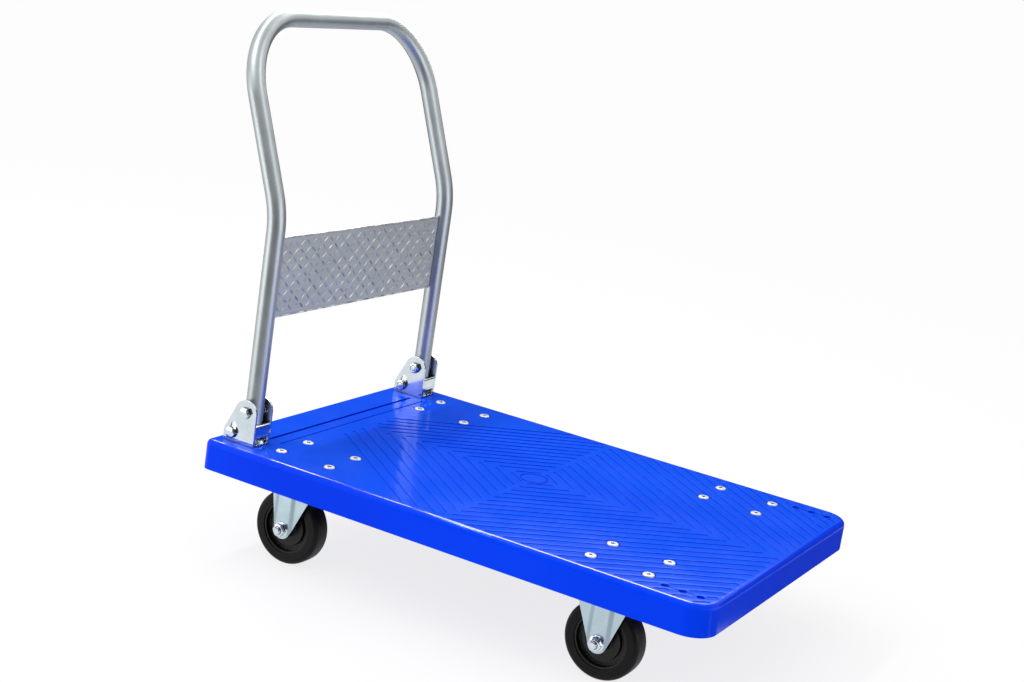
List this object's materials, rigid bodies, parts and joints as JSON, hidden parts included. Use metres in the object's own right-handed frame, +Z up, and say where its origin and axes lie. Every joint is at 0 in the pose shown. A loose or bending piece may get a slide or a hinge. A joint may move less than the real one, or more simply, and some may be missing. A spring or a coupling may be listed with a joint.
{
  "type": "folding platform trolley",
  "caption": "Folding platform trolley: grooved plastic deck on rigid front and swivel rear casters, with a bent tube push handle that stands upright or folds down over the deck.",
  "frame": {"origin": "on the floor, below the middle of the overall box", "axes": "+X towards the front, away from the handle; +Y to the left; +Z up"},
  "size_m": [0.9662, 0.6, 0.882],
  "materials": {
    "deck_plastic": "glossy moulded plastic",
    "tube_steel": "silver coated tube, satin gloss",
    "tread_metal": "tread plate with raised lozenges",
    "zinc_steel": "bright zinc plating",
    "bearing_steel": "polished",
    "tyre_rubber": "smooth solid rubber",
    "hub_plastic": "moulded, satin",
    "bush_nylon": "plain nylon"
  },
  "bodies": {
    "frame": {"deck": "deck_plastic", "bracket_bolts": "zinc_steel", "bracket_washers": "zinc_steel", "bracket_nuts": "zinc_steel", "caster_bolts": "zinc_steel", "caster_nuts": "zinc_steel", "handle_bracket_left": "zinc_steel", "pivot_bolt_left": "zinc_steel", "pivot_nut_left": "zinc_steel", "pivot_spacers_left": "zinc_steel", "rigid_fork_left": "zinc_steel", "swivel_plate_left": "zinc_steel", "swivel_balls_left": "bearing_steel", "kingpin_left": "zinc_steel", "swivel_cup_left": "zinc_steel", "kingpin_nut_left": "zinc_steel", "axle_sleeve_front_left": "zinc_steel", "axle_bolt_front_left": "zinc_steel", "axle_nut_front_left": "zinc_steel", "handle_bracket_right": "zinc_steel", "pivot_bolt_right": "zinc_steel", "pivot_nut_right": "zinc_steel", "pivot_spacers_right": "zinc_steel", "rigid_fork_right": "zinc_steel", "swivel_plate_right": "zinc_steel", "swivel_balls_right": "bearing_steel", "kingpin_right": "zinc_steel", "swivel_cup_right": "zinc_steel", "kingpin_nut_right": "zinc_steel", "axle_sleeve_front_right": "zinc_steel", "axle_bolt_front_right": "zinc_steel", "axle_nut_front_right": "zinc_steel"},
    "handle": {"handle_tube": "tube_steel", "tread_plate": "tread_metal"},
    "lock_left": {"lock_bolt_left": "zinc_steel", "lock_nut_left": "zinc_steel"},
    "lock_right": {"lock_bolt_right": "zinc_steel", "lock_nut_right": "zinc_steel"},
    "swivel_left": {"swivel_fork_left": "zinc_steel", "axle_sleeve_rear_left": "zinc_steel", "axle_bolt_rear_left": "zinc_steel", "axle_nut_rear_left": "zinc_steel"},
    "swivel_right": {"swivel_fork_right": "zinc_steel", "axle_sleeve_rear_right": "zinc_steel", "axle_bolt_rear_right": "zinc_steel", "axle_nut_rear_right": "zinc_steel"},
    "wheel_front_left": {"tyre_front_left": "tyre_rubber", "hub_front_left": "hub_plastic", "bush_front_left": "bush_nylon"},
    "wheel_front_right": {"tyre_front_right": "tyre_rubber", "hub_front_right": "hub_plastic", "bush_front_right": "bush_nylon"},
    "wheel_rear_left": {"tyre_rear_left": "tyre_rubber", "hub_rear_left": "hub_plastic", "bush_rear_left": "bush_nylon"},
    "wheel_rear_right": {"tyre_rear_right": "tyre_rubber", "hub_rear_right": "hub_plastic", "bush_rear_right": "bush_nylon"}
  },
  "joints": [
    {"name": "handle_fold", "type": "hinge", "parent": "frame", "child": "handle", "pos_m": [-0.35891, 0, 0.249], "axis": [0, 1, 0], "range_deg": [0, 96]},
    {"name": "lock_left_slide", "type": "slide", "parent": "frame", "child": "lock_left", "axis": [0.2028, 0, 0.9792], "range_m": [0, 0.0133]},
    {"name": "lock_right_slide", "type": "slide", "parent": "frame", "child": "lock_right", "axis": [0.2028, 0, 0.9792], "range_m": [0, 0.0133]},
    {"name": "rear_left_swivel", "type": "hinge", "parent": "frame", "child": "swivel_left", "pos_m": [-0.25491, 0.207, 0.15], "axis": [0, 0, 1], "continuous": true},
    {"name": "rear_right_swivel", "type": "hinge", "parent": "frame", "child": "swivel_right", "pos_m": [-0.25491, -0.207, 0.15], "axis": [0, 0, 1], "continuous": true},
    {"name": "front_left_roll", "type": "hinge", "parent": "frame", "child": "wheel_front_left", "pos_m": [0.29509, 0.207, 0.0625], "axis": [0, 1, 0], "continuous": true},
    {"name": "front_right_roll", "type": "hinge", "parent": "frame", "child": "wheel_front_right", "pos_m": [0.29509, -0.207, 0.0625], "axis": [0, 1, 0], "continuous": true},
    {"name": "rear_left_roll", "type": "hinge", "parent": "swivel_left", "child": "wheel_rear_left", "pos_m": [-0.28891, 0.207, 0.0625], "axis": [0, 1, 0], "continuous": true},
    {"name": "rear_right_roll", "type": "hinge", "parent": "swivel_right", "child": "wheel_rear_right", "pos_m": [-0.28891, -0.207, 0.0625], "axis": [0, 1, 0], "continuous": true}
  ]
}
